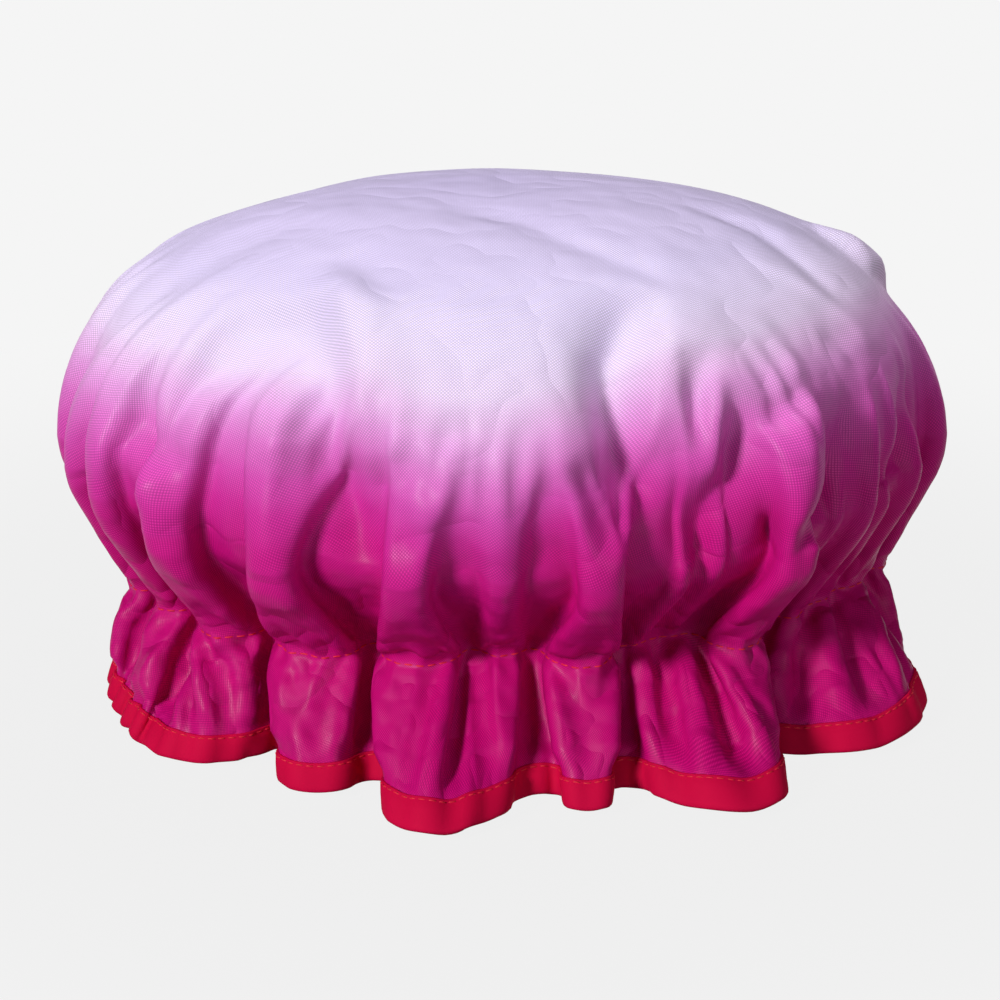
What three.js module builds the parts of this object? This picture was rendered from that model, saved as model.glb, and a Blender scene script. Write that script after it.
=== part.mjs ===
// Shower cap: a round of printed cloth and a round of waterproof film, gathered together on an elastic
// band. The cloth below the band falls in a ruffle, and a folded tape binds both raw edges at the hem.
// Millimetres, +Z up, the wearer's brow towards -Y. The cap stands on its hem, as it does on a table, and
// the origin lies on the table under the middle of the cap.

import * as THREE from "three";

// Crown, measured over the outside of the cloth
const CROWN_WIDTH = 270; // side to side at the bulge, over the ridges of the folds
const CROWN_DEPTH = 216; // brow to nape at the bulge
const CROWN_TOP = 150; // highest point above the table
const BULGE_HEIGHT = 80; // where the crown is widest, above the table
const CROWN_LEAN = 5; // how much higher the right shoulder stands than the middle would
const DOME_POWER = 2.4; // 2 is a plain ellipse, and more is squarer at the shoulder

// Waist, where the elastic gathers the cloth
const WAIST_WIDTH = 226;
const WAIST_DEPTH = 146;
const WAIST_HEIGHT = 35; // line of stitching above the table

// Hem, measured over the lobes of the ruffle
const HEM_WIDTH = 252;
const HEM_DEPTH = 222;

// Valleys between the gathers, in degrees from +X towards +Y, once round the cap from the brow. Each gather
// ends as a lobe of the ruffle, and two gathers run up into one broad fold of the crown.
const VALLEYS = [276, 292, 319, 341, 363.5, 394, 416, 456, 485, 511, 535, 553, 583, 603];
const LOBE_COUNT = VALLEYS.length;
const LOBES_PER_FOLD = 2;

// How far each valley lies inside its two ridges
const SHOULDER_FOLD = 9; // between two broad folds
const BULGE_FOLD = 10;
const GATHER_FOLD = 13;
const WAIST_FOLD = 11;
const RUFFLE_FOLD = 17;
const HEM_FOLD = 24;

// Layers, from the outside in
const CLOTH = 0.6; // printed polyester
const FILM = 0.4; // waterproof lining
const TAPE = 0.6; // hem binding, one leaf
const BINDING_WIDTH = 11; // finished width of the folded binding
const ELASTIC_THICKNESS = 1.1;
const ELASTIC_WIDTH = 6; // the layers lie flat against the elastic over this width
const THREAD = 0.6; // sewing thread's diameter
const FIT = 0.3; // gap between pieces that touch

// Seams
const BINDING_STITCH_INSET = 1.2; // stitching below the binding's upper edge
const ELASTIC_LAP_STEPS = 2; // how far the elastic's ends overlap, in steps of the mesh
const ELASTIC_RAMP_STEPS = 3; // steps over which the upper end climbs onto the lower one
const TACK_STITCHES = 5;
const TACK_WIDTH = 3;
const TACK_HEIGHT = 5;

// Mesh: each lobe has a point on its ridge, one on each flank and one in the valley beside it
const STEPS_PER_LOBE = 4;
const STEPS = LOBE_COUNT * STEPS_PER_LOBE;
const TOP_STEPS = STEPS / 2;
const DOME_SHARES = [0.38, 0.66, 0.86, 0.97]; // rings of the dome, as shares of the bulge's radius
const UNDER_PARTS = [0.4, 0.75]; // rings under the bulge, as parts of the way down to the elastic
const UNDER_POWER = 1.4; // 1 is a straight slope in to the elastic, and more is rounder under the bulge
const RUFFLE_FLARE = 0.62; // how much of the ruffle's flare lies above its middle ring
const RUFFLE_DROP = 0.45; // how much of its drop lies above that ring

const TAU = 2 * Math.PI;
const FRONT = -Math.PI / 2;
const BACK_SEAM_STEP = STEPS / 2 + 1; // beside the nape's valley, where the hem runs nearly straight

// Plan shapes

function ovalRadius(width, depth, angle) {
  return 1 / Math.hypot((2 * Math.cos(angle)) / width, (2 * Math.sin(angle)) / depth);
}

// The angle of a place round the cap, counted in lobes from the first valley.
function lobeAngle(place) {
  const lobe = Math.floor(place);
  const next = lobe + 1 < LOBE_COUNT ? VALLEYS[lobe + 1] : VALLEYS[0] + 360;
  return THREE.MathUtils.degToRad(THREE.MathUtils.lerp(VALLEYS[lobe], next, place - lobe));
}

// How far a place lies inside the ridges: 0 on a round ridge, the full depth in a sharp valley.
function foldDepth(depth, place, lobes = 1) {
  return depth * (1 - Math.abs(Math.sin((Math.PI * place) / lobes)));
}

function pointAt(angle, radius, height) {
  return new THREE.Vector3(radius * Math.cos(angle), radius * Math.sin(angle), height);
}

// Rings of the outer face, from the crown's top to the hem

function domePoint(share, place) {
  const angle = lobeAngle(place);
  const shoulder = foldDepth(SHOULDER_FOLD, place + 1, LOBES_PER_FOLD) * share ** 3;
  const radius = share * ovalRadius(CROWN_WIDTH, CROWN_DEPTH, angle) - shoulder;
  const rise = (1 - share ** DOME_POWER) ** (1 / DOME_POWER);
  const lean = CROWN_LEAN * share * rise * Math.cos(angle);
  return pointAt(angle, radius, BULGE_HEIGHT + (CROWN_TOP - BULGE_HEIGHT) * rise + lean);
}

function bulgePoint(place) {
  const angle = lobeAngle(place);
  const radius = ovalRadius(CROWN_WIDTH, CROWN_DEPTH, angle);
  return pointAt(angle, radius - foldDepth(BULGE_FOLD, place), BULGE_HEIGHT);
}

function underBulgePoint(part, place) {
  const angle = lobeAngle(place);
  const bulge = ovalRadius(CROWN_WIDTH, CROWN_DEPTH, angle);
  const waist = ovalRadius(WAIST_WIDTH, WAIST_DEPTH, angle);
  const radius = bulge + (waist - bulge) * part ** UNDER_POWER;
  const drop = (BULGE_HEIGHT - WAIST_HEIGHT - ELASTIC_WIDTH / 2) * part;
  return pointAt(angle, radius - foldDepth(GATHER_FOLD, place), BULGE_HEIGHT - drop);
}

function waistPoint(side, place) {
  const angle = lobeAngle(place);
  const radius = ovalRadius(WAIST_WIDTH, WAIST_DEPTH, angle) - foldDepth(WAIST_FOLD, place);
  return pointAt(angle, radius, WAIST_HEIGHT + (side * ELASTIC_WIDTH) / 2);
}

function rufflePoint(place) {
  const angle = lobeAngle(place);
  const waist = ovalRadius(WAIST_WIDTH, WAIST_DEPTH, angle);
  const radius = waist + (ovalRadius(HEM_WIDTH, HEM_DEPTH, angle) - waist) * RUFFLE_FLARE;
  const height = (WAIST_HEIGHT - ELASTIC_WIDTH / 2) * (1 - RUFFLE_DROP);
  return pointAt(angle, radius - foldDepth(RUFFLE_FOLD, place), height);
}

function hemPoint(place) {
  const angle = lobeAngle(place);
  const radius = ovalRadius(HEM_WIDTH, HEM_DEPTH, angle) - TAPE - FIT;
  return pointAt(angle, radius - foldDepth(HEM_FOLD, place), TAPE + FIT);
}

// The binding's upper edge lies one binding width up the cloth from the hem.
function bindingTopPoint(place) {
  const hem = hemPoint(place);
  const up = rufflePoint(place).sub(hem).setLength(BINDING_WIDTH);
  return hem.add(up);
}

function ring(count, point) {
  return Array.from({ length: count }, (_, i) => point((LOBE_COUNT * i) / count));
}

const RINGS = [
  [pointAt(0, 0, CROWN_TOP)],
  ...DOME_SHARES.map((share) => ring(TOP_STEPS, (place) => domePoint(share, place))),
  ring(STEPS, bulgePoint),
  ...UNDER_PARTS.map((part) => ring(STEPS, (place) => underBulgePoint(part, place))),
  ring(STEPS, (place) => waistPoint(1, place)),
  ring(STEPS, (place) => waistPoint(-1, place)),
  ring(STEPS, rufflePoint),
  ring(STEPS, bindingTopPoint),
  ring(STEPS, hemPoint),
];
const HEM_RING = RINGS.length - 1;
const BINDING_TOP_RING = HEM_RING - 1;
const WAIST_LOW_RING = HEM_RING - 3;
const WAIST_HIGH_RING = HEM_RING - 4;
const RING_STARTS = RINGS.map((_, k) => RINGS.slice(0, k).reduce((sum, r) => sum + r.length, 0));

// Triangles between two neighbouring rings, facing out: a fan, a plain band, or a band that doubles its steps.
function bandTriangles(k) {
  const [upper, lower] = [RINGS[k].length, RINGS[k + 1].length];
  const a = (i) => RING_STARTS[k] + (i % upper);
  const b = (i) => RING_STARTS[k + 1] + (i % lower);
  const triangles = [];
  for (let i = 0; i < upper; i++) {
    if (upper === lower) triangles.push([a(i), b(i), b(i + 1)], [a(i), b(i + 1), a(i + 1)]);
    else if (upper > 1)
      triangles.push(
        [a(i), b(2 * i), b(2 * i + 1)],
        [a(i), b(2 * i + 1), a(i + 1)],
        [a(i + 1), b(2 * i + 1), b(2 * i + 2)],
      );
    else for (let j = 0; j < lower; j++) triangles.push([a(0), b(j), b(j + 1)]);
  }
  return triangles;
}

const FACE_TRIANGLES = RINGS.slice(1).flatMap((_, k) => bandTriangles(k));

function geometryOf(points, triangles) {
  const geometry = new THREE.BufferGeometry().setFromPoints(points);
  geometry.setIndex(triangles.flat());
  return geometry;
}

// Outward normals at every point, level along the hem so that all layers end at one height.
function faceNormals() {
  const face = geometryOf(RINGS.flat(), FACE_TRIANGLES);
  face.computeVertexNormals();
  const stored = face.getAttribute("normal");
  return RINGS.map((points, k) =>
    points.map((_, i) => {
      const normal = new THREE.Vector3().fromBufferAttribute(stored, RING_STARTS[k] + i);
      if (k === HEM_RING) normal.z = 0;
      return normal.normalize();
    }),
  );
}

const NORMALS = faceNormals();

// A point of the outer face moved inwards by depth, or outwards if depth is negative.
function layerPoint(k, i, depth) {
  return RINGS[k][i].clone().addScaledVector(NORMALS[k][i], -depth);
}

// A sheet between two depths, closed along the hem
function sheetGeometry(outerDepth, innerDepth) {
  const layer = (depth) => RINGS.flatMap((points, k) => points.map((_, i) => layerPoint(k, i, depth)));
  const outer = layer(outerDepth);
  const inner = layer(innerDepth);
  const hem = RING_STARTS[HEM_RING];
  const rim = Array.from({ length: STEPS }, (_, i) => {
    const [p, q] = [hem + i, hem + ((i + 1) % STEPS)];
    return [
      [p, outer.length + p, outer.length + q],
      [p, outer.length + q, q],
    ];
  });
  const lining = FACE_TRIANGLES.map(([a, b, c]) => [a, c, b].map((v) => v + outer.length));
  return geometryOf([...outer, ...inner], [...FACE_TRIANGLES, ...lining, ...rim.flat()]);
}

// A solid swept through sections of equal point counts. Each section runs anticlockwise for an eye that looks
// along the sweep. The diagonal of every wall runs downhill, as in the layers, so that neighbours stay parallel.
function sweepGeometry(sections, closed) {
  const corners = sections[0].length;
  const spans = closed ? sections.length : sections.length - 1;
  const at = (s, c) => (s % sections.length) * corners + (c % corners);
  const triangles = [];
  for (let s = 0; s < spans; s++)
    for (let c = 0; c < corners; c++) {
      const [here, ahead, beside] = [at(s, c), at(s + 1, c), at(s, c + 1)];
      const opposite = at(s + 1, c + 1);
      const rises = sections[s][c].z < sections[s][(c + 1) % corners].z;
      if (rises) triangles.push([here, ahead, beside], [ahead, opposite, beside]);
      else triangles.push([here, opposite, beside], [here, ahead, opposite]);
    }
  return { points: sections.flat(), triangles };
}

// Flat ends for an open sweep, given as triangles of one section's corners
function cappedGeometry(sections, capTriangles) {
  const { points, triangles } = sweepGeometry(sections, false);
  const last = points.length - sections[0].length;
  const end = capTriangles.map(([a, b, c]) => [a + last, c + last, b + last]);
  return geometryOf(points, [...triangles, ...capTriangles, ...end]);
}

function loopGeometry(sections) {
  const { points, triangles } = sweepGeometry(sections, true);
  return geometryOf(points, triangles);
}

const QUAD_CAP = [
  [0, 1, 2],
  [0, 2, 3],
];

// Hem binding: a tape folded round both raw edges, butted end to end at the nape

const STACK = CLOTH + FIT + FILM; // both layers of the cap, with the gap between them
const BINDING_SECTION_CAP = [
  [0, 1, 2],
  [0, 2, 7],
  [7, 2, 3],
  [7, 3, 6],
  [6, 3, 4],
  [6, 4, 5],
];

// The foot of a layer, carried on down its own slope to a height.
function footPoint(i, depth, height) {
  const top = layerPoint(BINDING_TOP_RING, i, depth);
  const hem = layerPoint(HEM_RING, i, depth);
  return top.clone().lerp(hem, (top.z - height) / (top.z - hem.z));
}

function bindingSection(i) {
  const [outside, slotOutside] = [-FIT - TAPE, -FIT];
  const [slotInside, inside] = [STACK + FIT, STACK + FIT + TAPE];
  return [
    layerPoint(BINDING_TOP_RING, i, outside),
    layerPoint(BINDING_TOP_RING, i, slotOutside),
    footPoint(i, slotOutside, TAPE),
    footPoint(i, slotInside, TAPE),
    layerPoint(BINDING_TOP_RING, i, slotInside),
    layerPoint(BINDING_TOP_RING, i, inside),
    footPoint(i, inside, 0),
    footPoint(i, outside, 0),
  ];
}

function bindingGeometry() {
  const sections = Array.from({ length: STEPS + 1 }, (_, s) => bindingSection((BACK_SEAM_STEP + s) % STEPS));
  const along = RINGS[HEM_RING][BACK_SEAM_STEP + 1].clone().sub(RINGS[HEM_RING][BACK_SEAM_STEP - 1]);
  along.setLength(FIT / 2);
  sections[0].forEach((point) => point.add(along));
  sections[STEPS].forEach((point) => point.sub(along));
  return cappedGeometry(sections, BINDING_SECTION_CAP);
}

// Threads: a three-sided section carried round the cap, with one flat side on the face that it is sewn to

function threadSection(centre, out, up) {
  const r = THREAD / 2;
  return [
    centre.clone().addScaledVector(out, r),
    centre.clone().addScaledVector(out, -r).addScaledVector(up, r),
    centre.clone().addScaledVector(out, -r).addScaledVector(up, -r),
  ];
}

// depth is where the thread's centre lies, and share is its place between the upper and the lower ring. It bends
// at each step of the band and again on the step's diagonal, so that it lies flat on both triangles.
function seamGeometry(upper, lower, share, depth) {
  const steps = RINGS[upper].length;
  const side = Math.sign(-depth);
  const section = (i, j) => {
    const centre = layerPoint(upper, i, depth).lerp(layerPoint(lower, j, depth), share);
    const normal = NORMALS[upper][i].clone().lerp(NORMALS[lower][j], share);
    const slope = RINGS[upper][i].clone().sub(RINGS[lower][i]);
    return threadSection(centre, normal.setLength(side), slope.setLength(side));
  };
  const sections = RINGS[upper].flatMap((_, i) => [section(i, i), section(i, (i + 1) % steps)]);
  return loopGeometry(sections);
}

const THREAD_SEAT = FIT + THREAD / 2; // from a face to the centre of a thread that lies on it
const BINDING_STITCH_SHARE = BINDING_STITCH_INSET / BINDING_WIDTH;

// Elastic: a flat band inside the lining at the waist, its ends lapped at the nape

const ELASTIC_FACE = WAIST_FOLD + STACK + 2 * FIT; // from the waist's ridges in to the elastic's outer face
const LAP_SHIFT = ELASTIC_THICKNESS + FIT;
const LAP_START = STEPS / 2;

// How far the upper end has climbed over the lower one, counted in steps from the band's start.
function lapShift(step) {
  return LAP_SHIFT * THREE.MathUtils.smoothstep(step, STEPS - ELASTIC_RAMP_STEPS, STEPS);
}

function stepAngle(step) {
  return FRONT + (TAU * (LAP_START + step)) / STEPS;
}

function elasticPoint(step, inset, height) {
  const angle = stepAngle(step);
  const face = ovalRadius(WAIST_WIDTH, WAIST_DEPTH, angle) - ELASTIC_FACE;
  return pointAt(angle, face - inset, height);
}

function elasticSection(step) {
  const near = lapShift(step);
  const far = near + ELASTIC_THICKNESS;
  const [low, high] = [WAIST_HEIGHT - ELASTIC_WIDTH / 2, WAIST_HEIGHT + ELASTIC_WIDTH / 2];
  return [
    elasticPoint(step, near, low),
    elasticPoint(step, near, high),
    elasticPoint(step, far, high),
    elasticPoint(step, far, low),
  ];
}

function elasticGeometry() {
  const sections = Array.from({ length: STEPS + ELASTIC_LAP_STEPS + 1 }, (_, step) => elasticSection(step));
  return cappedGeometry(sections, QUAD_CAP);
}

// Bobbin thread on the elastic's inner face: it climbs over the lap and over the tack that holds the lap.
function elasticBobbinGeometry() {
  const down = new THREE.Vector3(0, 0, -1);
  const sections = Array.from({ length: STEPS }, (_, step) => {
    const lapped = step <= ELASTIC_LAP_STEPS;
    const climb = lapped ? LAP_SHIFT + FIT + THREAD : lapShift(step);
    const centre = elasticPoint(step, ELASTIC_THICKNESS + climb + THREAD_SEAT, WAIST_HEIGHT);
    return threadSection(centre, pointAt(stepAngle(step), -1, 0), down);
  });
  return loopGeometry(sections);
}

// Tacks: a dense bar of stitches across a join, flat below, crowned above, with a rib for each stitch

const TACK_SECTION_CAP = [
  [0, 1, 2],
  [0, 2, 3],
  [0, 3, 4],
];

function tackSection(centre, across, out, width) {
  const corner = (share, lift) =>
    centre.clone().addScaledVector(across, share * width).addScaledVector(out, lift * THREAD);
  return [corner(-0.5, 0), corner(0, 0.5), corner(0.5, 0), corner(0.5, -0.5), corner(-0.5, -0.5)];
}

function tackGeometry(centre, up, out) {
  const across = out.clone().cross(up);
  const sections = Array.from({ length: 2 * TACK_STITCHES + 1 }, (_, i) => {
    const place = centre.clone().addScaledVector(up, (i / (2 * TACK_STITCHES) - 0.5) * TACK_HEIGHT);
    const width = i % 2 ? TACK_WIDTH : TACK_WIDTH - THREAD;
    return tackSection(place, across, out, width);
  });
  return cappedGeometry(sections, TACK_SECTION_CAP);
}

function elasticTackGeometry() {
  const middle = ELASTIC_LAP_STEPS / 2;
  const angle = stepAngle(middle);
  const centre = elasticPoint(middle, LAP_SHIFT + ELASTIC_THICKNESS + THREAD_SEAT, WAIST_HEIGHT);
  return tackGeometry(centre, new THREE.Vector3(0, 0, 1), pointAt(angle, -1, 0));
}

function bindingTackGeometry() {
  const i = BACK_SEAM_STEP;
  const depth = -FIT - TAPE - THREAD_SEAT;
  const middle = (BINDING_STITCH_INSET + BINDING_WIDTH) / 2 / BINDING_WIDTH;
  const centre = layerPoint(BINDING_TOP_RING, i, depth).lerp(layerPoint(HEM_RING, i, depth), middle);
  const out = NORMALS[BINDING_TOP_RING][i].clone().lerp(NORMALS[HEM_RING][i], middle).normalize();
  const up = RINGS[BINDING_TOP_RING][i].clone().sub(RINGS[HEM_RING][i]).normalize();
  return tackGeometry(centre, up, out);
}

// Finishes

const printedCloth = new THREE.MeshStandardMaterial({ color: 0xd53c9b, roughness: 0.42, metalness: 0 });
const clearFilm = new THREE.MeshStandardMaterial({ color: 0xe9edf2, roughness: 0.3, metalness: 0 });
const whiteElastic = new THREE.MeshStandardMaterial({ color: 0xf0efec, roughness: 0.85, metalness: 0 });
const redTape = new THREE.MeshStandardMaterial({ color: 0xcf1048, roughness: 0.7, metalness: 0 });
const redThread = new THREE.MeshStandardMaterial({ color: 0xd8142c, roughness: 0.6, metalness: 0 });

// Assembly

const cap = new THREE.Group();

function addPiece(name, geometry, material) {
  const mesh = new THREE.Mesh(geometry, material);
  mesh.name = name;
  cap.add(mesh);
}

addPiece("outer_cloth", sheetGeometry(0, CLOTH), printedCloth);
addPiece("waterproof_lining", sheetGeometry(CLOTH + FIT, STACK), clearFilm);
addPiece("hem_binding", bindingGeometry(), redTape);
addPiece("elastic_band", elasticGeometry(), whiteElastic);
addPiece("elastic_needle_thread", seamGeometry(WAIST_HIGH_RING, WAIST_LOW_RING, 0.5, -THREAD_SEAT), redThread);
addPiece("elastic_bobbin_thread", elasticBobbinGeometry(), redThread);
addPiece("elastic_join_tack", elasticTackGeometry(), redThread);

const OVER_BINDING = FIT + TAPE + THREAD_SEAT;
const UNDER_BINDING = STACK + OVER_BINDING;
const BINDING_SEAM = [BINDING_TOP_RING, HEM_RING, BINDING_STITCH_SHARE];
addPiece("binding_needle_thread", seamGeometry(...BINDING_SEAM, -OVER_BINDING), redThread);
addPiece("binding_bobbin_thread", seamGeometry(...BINDING_SEAM, UNDER_BINDING), redThread);
addPiece("binding_join_tack", bindingTackGeometry(), redThread);

// The lobes differ in width, so the whole cap is moved to bring the middle of its box over the origin.
const middle = new THREE.Box3().setFromObject(cap).getCenter(new THREE.Vector3());
cap.children.forEach((mesh) => mesh.geometry.translate(-middle.x, -middle.y, 0));

export default cap;
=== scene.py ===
# %% [markdown]
# # A gathered shower cap
# The real cap is two rounds of sheet, a printed cloth and a waterproof film. An elastic sewn on a circle
# near the edge gathers both into a puffed crown above it and a ruffle below it, and a folded tape binds
# the hem. A gathered sheet gets its looks from its cut: it is flat, it can't stretch, and it has too much
# width for the place that it has to fill. So this lesson lays out the flat cut first, folds it into the
# pleats that show, and then lets a small simulation settle it.

import bpy
import numpy as np
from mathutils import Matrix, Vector


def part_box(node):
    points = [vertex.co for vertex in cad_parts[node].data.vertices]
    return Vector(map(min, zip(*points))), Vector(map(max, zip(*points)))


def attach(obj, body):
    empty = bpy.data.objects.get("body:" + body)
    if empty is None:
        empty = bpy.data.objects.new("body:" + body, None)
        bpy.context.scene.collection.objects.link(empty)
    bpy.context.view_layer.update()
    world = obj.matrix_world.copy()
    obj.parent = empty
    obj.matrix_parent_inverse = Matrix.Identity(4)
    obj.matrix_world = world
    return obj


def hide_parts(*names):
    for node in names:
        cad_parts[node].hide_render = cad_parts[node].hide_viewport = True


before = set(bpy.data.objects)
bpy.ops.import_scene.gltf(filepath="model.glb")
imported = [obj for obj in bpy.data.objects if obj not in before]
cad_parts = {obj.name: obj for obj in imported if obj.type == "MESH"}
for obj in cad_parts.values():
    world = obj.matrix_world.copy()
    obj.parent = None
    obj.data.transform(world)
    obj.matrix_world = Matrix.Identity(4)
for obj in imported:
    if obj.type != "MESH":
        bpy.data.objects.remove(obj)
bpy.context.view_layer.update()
MM = 0.001

# %% [markdown]
# ## Camera
# The photograph looks down at the brow from a little above, from less than a metre away with a long lens. The
# camera comes first.

# %% Camera
VIEW_DISTANCE = 0.850
VIEW_ELEVATION = np.radians(22)
VIEW_TARGET = np.array([0.0, 0.0, 0.054])
PIXELS_PER_RADIAN = 2833
IMAGE_SIDE = 1000
SENSOR = 36

camera_data = bpy.data.cameras.new("camera")
camera_data.sensor_width = SENSOR
camera_data.lens = SENSOR * PIXELS_PER_RADIAN / IMAGE_SIDE
camera = bpy.data.objects.new("camera", camera_data)
bpy.context.scene.collection.objects.link(camera)
bpy.context.scene.camera = camera
back = np.array([0.0, -np.cos(VIEW_ELEVATION), np.sin(VIEW_ELEVATION)])
camera.location = VIEW_TARGET + VIEW_DISTANCE * back
camera.rotation_euler = (np.pi / 2 - VIEW_ELEVATION, 0, 0)
print(f"camera {VIEW_DISTANCE:.2f} m away, with a lens of {camera_data.lens:.0f} mm")

# %% [markdown]
# ## Small helpers
# Three formulas come back all through the lesson: a soft ramp, a unit vector and a distance walked.

# %% Small helpers
def smooth(x):
    """A ramp from 0 to 1 with soft ends."""
    x = np.clip(x, 0, 1)
    return x * x * (3 - 2 * x)


def unit(vectors):
    """Vectors scaled to length one."""
    return vectors / (np.linalg.norm(vectors, axis=-1, keepdims=True) + 1e-12)


def walked_along(points):
    """The distance walked along a row of points, up to each of them."""
    return np.concatenate([[0], np.cumsum(np.linalg.norm(np.diff(points, axis=0), axis=1))])


# %% [markdown]
# ## The flat cut
# Both rounds are cut alike. A polar grid suits them: its rings become the line of the elastic and the hem,
# and its spokes become the pleats. Ring 0 is the middle of the round, so all its points are one point.

# %% Flat cut
CUT_RADIUS = 269 * MM
RINGS = 60
WAIST_RING = 48
COLUMNS = 372

ring_radius = np.linspace(0, CUT_RADIUS, RINGS + 1)
waist_radius = ring_radius[WAIST_RING]
spoke_angle = 2 * np.pi * np.arange(COLUMNS) / COLUMNS
flat = np.stack([
    ring_radius[:, None] * np.cos(spoke_angle),
    ring_radius[:, None] * np.sin(spoke_angle),
], axis=-1)


def below_elastic(radius):
    """How far down the ruffle a ring lies: 0 at the elastic and above it, 1 at the hem."""
    return np.clip((radius - waist_radius) / (CUT_RADIUS - waist_radius), 0, 1)


print(f"flat round {2 * CUT_RADIUS:.3f} m across, elastic sewn {waist_radius / MM:.1f} mm from the middle")

# %% [markdown]
# ## The form under the folds
# Between the folds the cloth lies on a plain shape: a flattened dome, a turn in under it, and a skirt. The
# frame gives its sizes. Every ring of the cut gets an oval of this form, found by walking down the form's
# side by the ring's own distance from the middle.

# %% Form
crown_low, crown_high = (np.array(v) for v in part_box("outer_cloth"))
elastic_low, elastic_high = (np.array(v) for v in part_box("elastic_band"))
hem_low, hem_high = (np.array(v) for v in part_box("hem_binding"))

STUFFING_INSET = 16 * MM
BULGE_HEIGHT = 76 * MM
BULGE_SCALE = 1.04
HEM_SCALE = np.array([0.90, 1.04])
HEM_SHIFT = np.array([5, -1]) * MM
DOME_POWER = 2.25
SQUARE_RIGHT = 0.6
SQUARE_LEFT = 0.3
TOP_DROP = 1 * MM
UNDER_POWER = np.array([1.3, 2.4])
WAIST_FOLD = 12 * MM
NECK_HEIGHT = 43 * MM
NECK_INSET = 3 * MM
SKIRT_PUFF = 0.3
ROUNDING = 6 * MM
ROUNDING_SAMPLES = 21
TOP_LEAN = 0.015
HEM_HEIGHT = 1.6 * MM

bulge_half = (crown_high - crown_low)[:2] / 2 * BULGE_SCALE
waist_half = (elastic_high - elastic_low)[:2] / 2 + WAIST_FOLD
neck_half = waist_half - NECK_INSET
waist_height = (elastic_high + elastic_low)[2] / 2
hem_half = (hem_high - hem_low)[:2] / 2 * HEM_SCALE
crown_top = crown_high[2] - TOP_DROP


# %% The form's side
def form_profile(samples=400):
    """The form's side as half-widths, half-depths and heights, from the top to the hem.

    The dome is a superellipse. The turn under it is a power curve down to the neck, the narrowest place. From
    there a line leads to the elastic's seam, and a quarter wave mixed with a line to the hem.
    """
    turn = np.linspace(0, np.pi / 2, samples)
    dome = np.outer(np.sin(turn) ** (2 / DOME_POWER), bulge_half)
    part = np.linspace(0, 1, samples)
    under = bulge_half + part[:, None] ** UNDER_POWER * (neck_half - bulge_half)
    seam = neck_half + np.outer(part, waist_half - neck_half)
    outward = (1 - SKIRT_PUFF) * part + SKIRT_PUFF * np.sin(turn)
    downward = (1 - SKIRT_PUFF) * part + SKIRT_PUFF * (1 - np.cos(turn))
    skirt = waist_half + np.outer(outward, hem_half - waist_half)
    halves = np.concatenate([dome, under[1:], seam[1:], skirt[1:]])
    heights = np.concatenate([
        BULGE_HEIGHT + (crown_top - BULGE_HEIGHT) * np.cos(turn) ** (2 / DOME_POWER),
        (BULGE_HEIGHT + (NECK_HEIGHT - BULGE_HEIGHT) * part)[1:],
        (NECK_HEIGHT + (waist_height - NECK_HEIGHT) * part)[1:],
        (waist_height + (HEM_HEIGHT - waist_height) * downward)[1:],
    ])
    return rounded(halves, heights, samples - 1), samples - 1, 3 * samples - 3


def rounded(halves, heights, bulge):
    """The side with its corners below the bulge rounded: each point becomes the mean of its neighbourhood."""
    side = np.column_stack([halves, heights])
    walked = walked_along(side[:, 1:])
    reach = np.clip((walked - walked[bulge]) / 2, 0, ROUNDING)
    near = walked[:, None] + np.linspace(-1, 1, ROUNDING_SAMPLES) * reach[:, None]
    return np.stack([np.interp(near, walked, side[:, k]).mean(axis=1) for k in range(3)], axis=-1)


profile, profile_bulge, profile_waist = form_profile()
profile_halves, profile_heights = profile[:, :2], profile[:, 2]


# %% Rings on the form
def dome_power(plan):
    """How square the dome is towards each point: most at the right, less at the left."""
    aside = plan[..., 0] / bulge_half[0]
    ahead = plan[..., 1] / bulge_half[1]
    side = aside / np.maximum(np.hypot(aside, ahead), 1e-6)
    return DOME_POWER + SQUARE_RIGHT * np.maximum(side, 0) ** 2 + SQUARE_LEFT * np.minimum(side, 0) ** 2


def walk_down(halves, heights, waist_index):
    """Each ring's oval, height and outward normal: its share of the way to the waist, and then to the hem."""
    outward, upward = np.diff(halves.mean(axis=1)), np.diff(heights)
    steps = np.hypot(outward, upward)
    walked = np.concatenate([[0], np.cumsum(steps)])
    to_waist = walked[waist_index]
    to_hem = walked[-1] - to_waist
    place = np.minimum(ring_radius / waist_radius, 1) * to_waist + below_elastic(ring_radius) * to_hem
    ring_halves = np.stack([np.interp(place, walked, halves[:, axis]) for axis in (0, 1)], axis=-1)
    middle = (walked[1:] + walked[:-1]) / 2
    tilt = np.interp(place, middle, np.unwrap(np.arctan2(outward, -upward)))
    print(f"form: {to_waist / MM:.0f} mm from top to elastic for {waist_radius / MM:.0f} mm of cloth,",
          f"{to_hem / MM:.0f} mm of skirt for {(CUT_RADIUS - waist_radius) / MM:.0f} mm")
    bulge_radius = np.interp(walked[profile_bulge], place, ring_radius)
    return ring_halves, np.interp(place, walked, heights), tilt, bulge_radius


ring_halves, ring_heights, ring_tilt, bulge_radius = walk_down(profile_halves, profile_heights, profile_waist)

# %% [markdown]
# ## Pleats
# The circle at the elastic is more than twice as long as the elastic, so the cloth there lies in some
# thirty pleats. Their valleys on the brow side were read off the photograph, and the rest follow suit.
# Each valley has a place round the cap, and a range of the cut over which it runs: some die out just above
# the elastic, and some climb over the shoulder. A valley turns the cloth's heading: it comes in, swings
# round, and runs out again. The sum of all those turns, walked along, gives the folded line.
#
# A row of the table is one valley: its degrees round the cap at the seam, its start and its end on the cut
# in mm from the middle, and its degrees at the hem if it gets there.

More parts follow.
